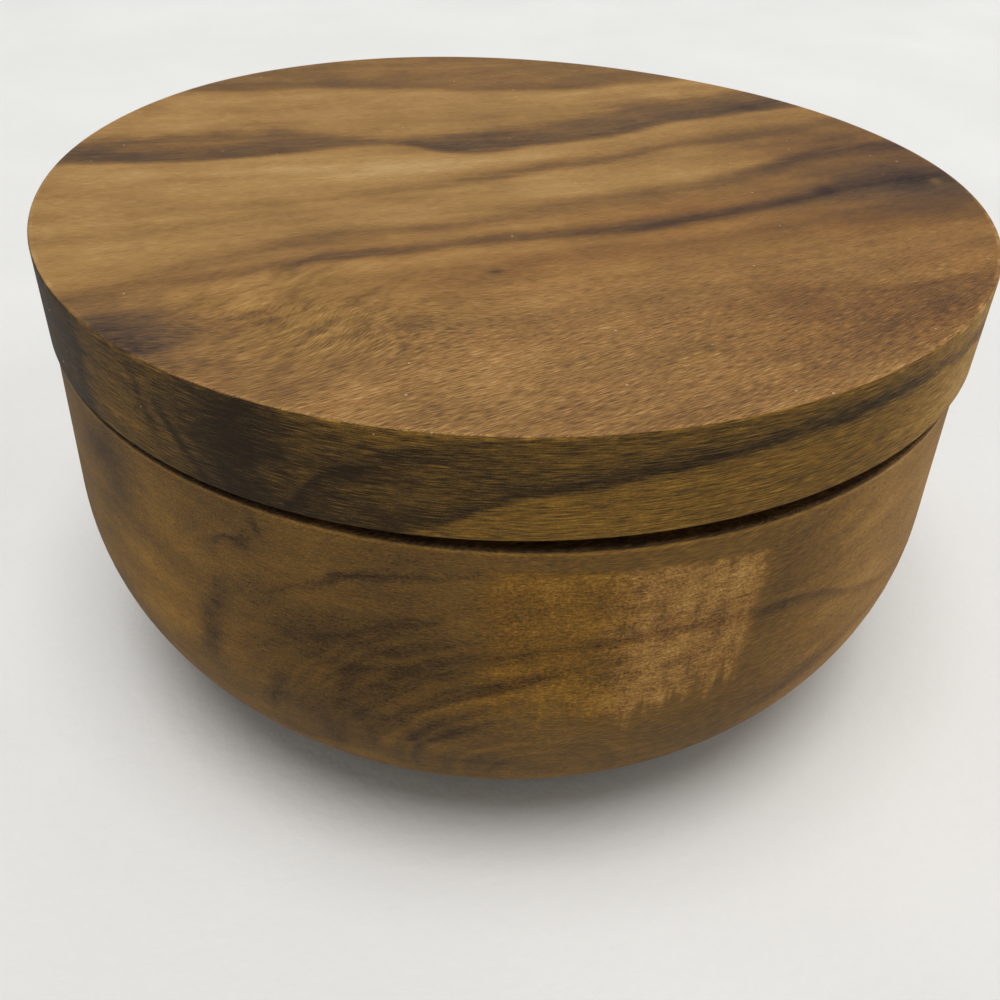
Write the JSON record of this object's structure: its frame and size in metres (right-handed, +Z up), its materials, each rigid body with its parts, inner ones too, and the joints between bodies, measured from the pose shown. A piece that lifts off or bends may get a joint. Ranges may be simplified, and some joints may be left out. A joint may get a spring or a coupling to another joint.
{
  "type": "salt and pepper cellar",
  "caption": "Round turned-wood salt and pepper cellar: a divided bowl under a flat disc lid that swivels on a pin hidden in the rim and lifts off",
  "frame": {"origin": "middle of the bowl's flat foot, on the surface that the cellar stands on", "axes": "+Z up; +Y towards the lid's pivot pin, which stands in the rim; -Y towards the magnets; the divider runs along X"},
  "size_m": [0.1272, 0.1272, 0.0694],
  "materials": {
    "bowl_wood": "turned brown hardwood, thin oil",
    "lid_wood": "planed golden-brown hardwood with dark streaks, thin oil",
    "divider_wood": "planed brown hardwood, thin oil",
    "pin_steel": "ground",
    "bush_brass": "turned",
    "washer_nylon": "natural",
    "magnet_nickel": "nickel plated"
  },
  "bodies": {
    "bowl": {"bowl": "bowl_wood", "divider": "divider_wood", "pivot_bush": "bush_brass", "rim_magnet": "magnet_nickel"},
    "washer": {"pivot_washer": "washer_nylon"},
    "lid": {"lid": "lid_wood", "pivot_pin": "pin_steel", "lid_magnet": "magnet_nickel"}
  },
  "joints": [
    {"name": "lid_lift", "type": "slide", "parent": "bowl", "child": "washer", "axis": [0, 0, 1], "range_m": [0, 0.03]},
    {"name": "lid_swivel", "type": "hinge", "parent": "washer", "child": "lid", "pos_m": [0, 0.05705, 0.055], "axis": [0, 0, 1], "continuous": true}
  ]
}
